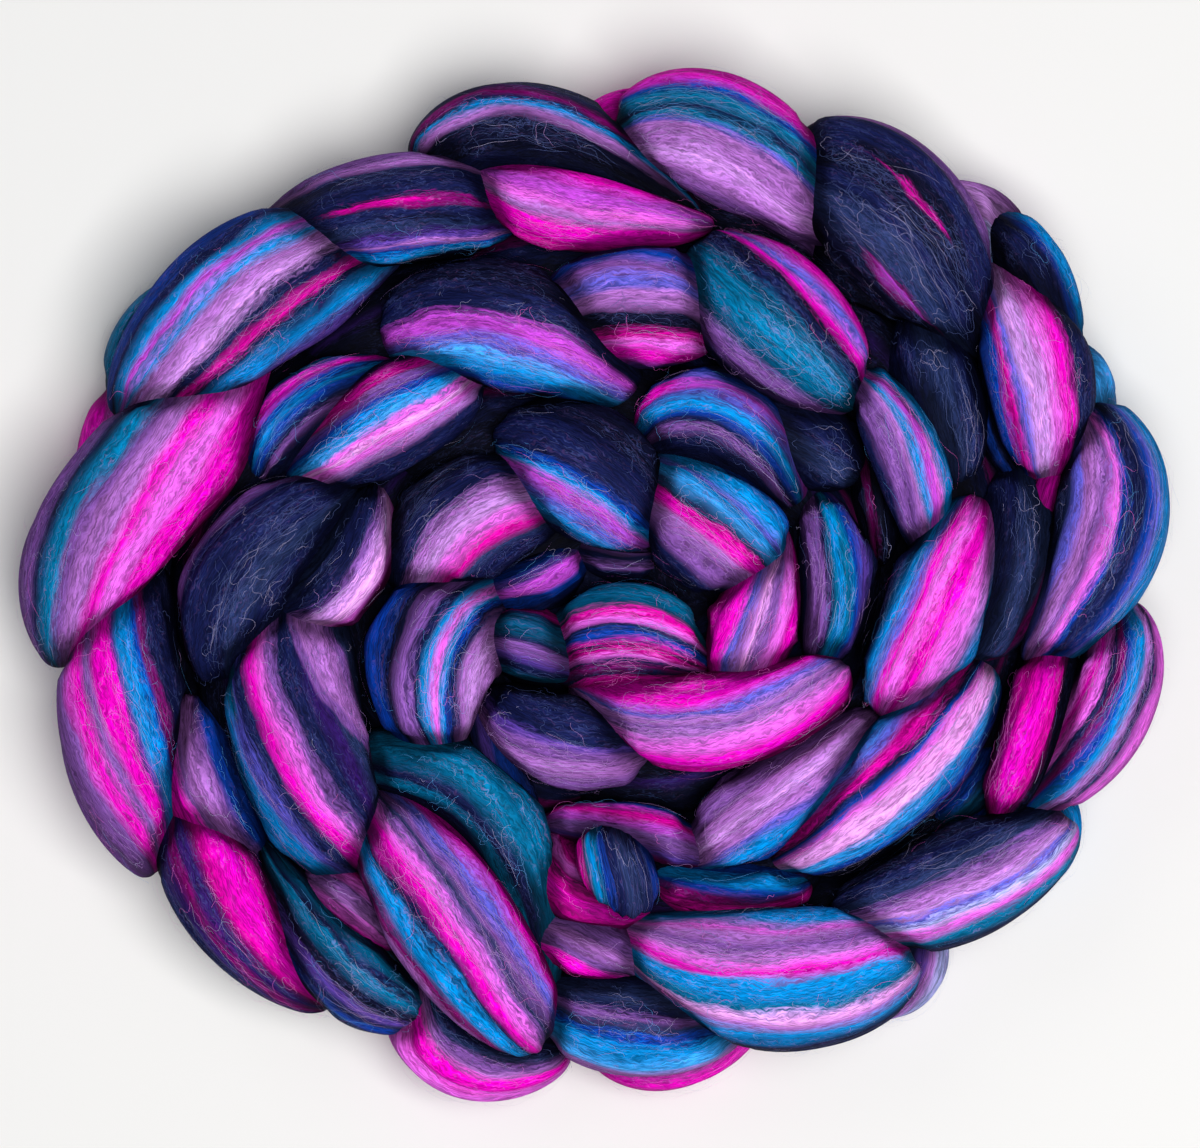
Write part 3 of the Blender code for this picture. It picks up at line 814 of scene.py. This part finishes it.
def stray_starts(bout, count, rng):
    """Places where stray fibres leave the wool, and the colour group of the lock that each leaves."""
    across = rng.uniform(0.01, 0.99, count)
    names, ends = lock_ends(bout)
    groups = []
    for place in across:
        dye = names[min(int(np.searchsorted(ends, place)), len(names) - 1)]
        groups.append(next(group for group, dyes in STRAY_DYES.items() if dye in dyes))
    groups = np.where(rng.uniform(size=count) < PALE_SHARE, "pale", np.array(groups))
    return np.arccos(1 - 2 * across)[:, None], groups


def stray_paths(bout, count, kind, points, rng):
    """Paths of stray fibres over one bout, the way out of the wool along each, and their groups."""
    length = np.linalg.norm(np.subtract(bout.toe, bout.heel))
    girth = math.pi * (bout.wide + bout.deep) / 2
    step = np.linspace(0, 1, points)[None, :]

    def each(low, high):
        return rng.uniform(low, high, (count, 1))

    lock, groups = stray_starts(bout, count, rng)
    t = each(0.05, 0.95)
    if kind == "laid":
        reach = each(4, 15)
        heading = rng.normal(0, 0.16, (count, 1)) + each(0.1, 0.55) * np.sin(
            2 * np.pi * (each(0.6, 2.2) * step + each(0, 1)))
        lift = 0.2 + each(0.0, 0.8) ** 2 * np.sin(np.pi * step)
    elif kind == "curled":
        reach = each(2.5, 11)
        turn = each(0.0, 0.4) * rng.choice([-1, 1], (count, 1))
        heading = rng.normal(0, 1.0, (count, 1)) + 2 * np.pi * turn * step + each(0.3, 1.2) * np.sin(
            2 * np.pi * (each(0.8, 3.0) * step + each(0, 1)))
        lift = 0.2 + each(0.1, 1.3) * np.sin(np.pi * step) ** 0.7
    else:
        lock = rng.choice([0.02, 0.98], (count, 1)) * np.pi + rng.normal(0, 0.25, (count, 1))
        reach = each(5, 16)
        heading = rng.normal(0, 0.35, (count, 1)) + each(0.1, 0.8) * np.sin(
            2 * np.pi * (each(0.4, 1.3) * step + each(0, 1)))
        lift = 0.2 + each(0.4, 2.6) * np.sin(np.pi * step * each(0.5, 1.0))
    stride = reach / (points - 1)
    forward = np.cumsum(np.cos(heading), 1) * stride * rng.choice([-1, 1], (count, 1))
    sideways = np.cumsum(np.sin(heading), 1) * stride
    t = np.clip(t + forward / length, 0.01, 0.99)
    path, out = on_bout(bout, t, lock + sideways / girth * 2 * np.pi, lift + 0.9 * fullness(bout, t))
    return path, out, groups


def fibres(name, batches, wide):
    """One mesh of flat fibres, tapered to both ends.  Each batch is paths and the ways out along them."""
    verts, faces = [], []
    total = 0
    for paths, outs in batches:
        count, points = paths.shape[:2]
        ahead = np.gradient(paths, axis=1)
        side = np.cross(ahead, outs)
        side /= np.linalg.norm(side, axis=-1, keepdims=True) + 1e-9
        taper = np.clip(np.sin(np.linspace(0.1, np.pi - 0.1, points)), 0.2, 0.7) / 0.7
        half = side * (wide / 2 * taper)[None, :, None]
        verts.append(np.stack([paths - half, paths + half], 2).reshape(-1, 3) * MM)
        first = (np.arange(count) * points * 2)[:, None] + (np.arange(points - 1) * 2)[None, :] + total
        faces.append(np.stack([first, first + 1, first + 3, first + 2], -1).reshape(-1, 4))
        total += count * points * 2
    verts, faces = np.concatenate(verts), np.concatenate(faces)
    mesh = bpy.data.meshes.new(name)
    mesh.vertices.add(len(verts))
    mesh.vertices.foreach_set("co", verts.astype(np.float32).ravel())
    mesh.loops.add(faces.size)
    mesh.loops.foreach_set("vertex_index", faces.astype(np.int32).ravel())
    mesh.polygons.add(len(faces))
    mesh.polygons.foreach_set("loop_start", np.arange(0, faces.size, 4, dtype=np.int32))
    mesh.polygons.foreach_set("use_smooth", np.ones(len(faces), bool))
    mesh.update(calc_edges=True)
    return mesh


def fibre_wool(group):
    """A single loose fibre of one colour group."""
    made = bpy.data.materials.new("fibre_" + group)
    made.use_nodes = True
    shader = made.node_tree.nodes["Principled BSDF"]
    shader.inputs["Base Color"].default_value = linear(FIBRE_DYES[group])
    shader.inputs["Roughness"].default_value = 0.6
    shader.inputs["Specular IOR Level"].default_value = 0.1
    return made


rng = np.random.default_rng(900)
loose = {group: [] for group in STRAY_DYES}
for own, bout in enumerate(OUTER_TURN + OUTER_UNDER + INNER_TURN + EYE):
    for stray in STRAYS:
        more = WEBS.get(bout.name, 0) if stray.kind == "curled" else 0
        count = round(stray.count * bout.wide / USUAL_WIDTH) + more
        paths, outs, groups = stray_paths(bout, count, stray.kind, stray.points, rng)
        room = room_round(paths.reshape(-1, 3) * MM, own, trees).reshape(paths.shape[:2])
        open_wool = room.min(1) > rng.uniform(*stray.room, len(room))
        for group, batches in loose.items():
            chosen = open_wool & (groups == group)
            batches.append((paths[chosen], outs[chosen]))
for group, batches in loose.items():
    piece = bpy.data.objects.new("strays_" + group, fibres("strays_" + group, batches, STRAY_WIDE))
    bpy.context.scene.collection.objects.link(piece)
    piece.data.materials.append(fibre_wool(group))
    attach(piece, "root")
    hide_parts("braid")

# ---------------------------------------------------------------------------------------------------------
# A plain pale surface under the braid, soft light from the near right, and a camera straight above.


def soft_light(name, place, size, power, colour=(1, 1, 1)):
    """A square soft light that looks at the middle of the nest."""
    lamp = bpy.data.lights.new(name, "AREA")
    lamp.shape = "SQUARE"
    lamp.size = size
    lamp.energy = power
    lamp.color = colour
    made = bpy.data.objects.new(name, lamp)
    bpy.context.scene.collection.objects.link(made)
    made.location = place
    x, y, z = place
    made.rotation_euler = (math.atan2(math.hypot(x, y), z), 0, math.atan2(x, -y))


SURFACE = 3
SURFACE_UNDER = 0.0002
surface_data = bpy.data.meshes.new("surface")
surface_data.from_pydata(
    [(-SURFACE, -SURFACE, 0), (SURFACE, -SURFACE, 0), (SURFACE, SURFACE, 0), (-SURFACE, SURFACE, 0)],
    [], [(0, 1, 2, 3)])
surface = bpy.data.objects.new("surface", surface_data)
bpy.context.scene.collection.objects.link(surface)
surface.location.z = -SURFACE_UNDER
paint = bpy.data.materials.new("pale surface")
paint.use_nodes = True
plain = paint.node_tree.nodes["Principled BSDF"]
plain.inputs["Base Color"].default_value = (0.80, 0.79, 0.77, 1)
plain.inputs["Roughness"].default_value = 0.8
surface_data.materials.append(paint)

soft_light("key", (0.35, -0.25, 1.8), 1.1, 39)
soft_light("fill", (-0.9, 0.8, 1.3), 1.2, 3.5, (0.92, 0.95, 1.0))

world = bpy.data.worlds.new("room")
world.use_nodes = True
room_light = world.node_tree.nodes["Background"]
room_light.inputs["Color"].default_value = (0.85, 0.9, 1.0, 1)
room_light.inputs["Strength"].default_value = 0.11
bpy.context.scene.world = world
bpy.context.scene.view_settings.view_transform = "Standard"

# The camera takes in VIEW_WIDTH at VIEW_LEVEL, about the middle of the tops of the bouts.
CAMERA_UP = 1.55
VIEW_LEVEL = 0.034
VIEW_WIDTH = 0.300
VIEW_MIDDLE = (0.0005, 0.00325)
SENSOR_WIDTH = 36
camera_data = bpy.data.cameras.new("camera")
camera_data.sensor_width = SENSOR_WIDTH
camera_data.lens = SENSOR_WIDTH * (CAMERA_UP - VIEW_LEVEL) / VIEW_WIDTH
camera_data.clip_start = 0.01
camera = bpy.data.objects.new("camera", camera_data)
bpy.context.scene.collection.objects.link(camera)
camera.location = (*VIEW_MIDDLE, CAMERA_UP)
bpy.context.scene.camera = camera
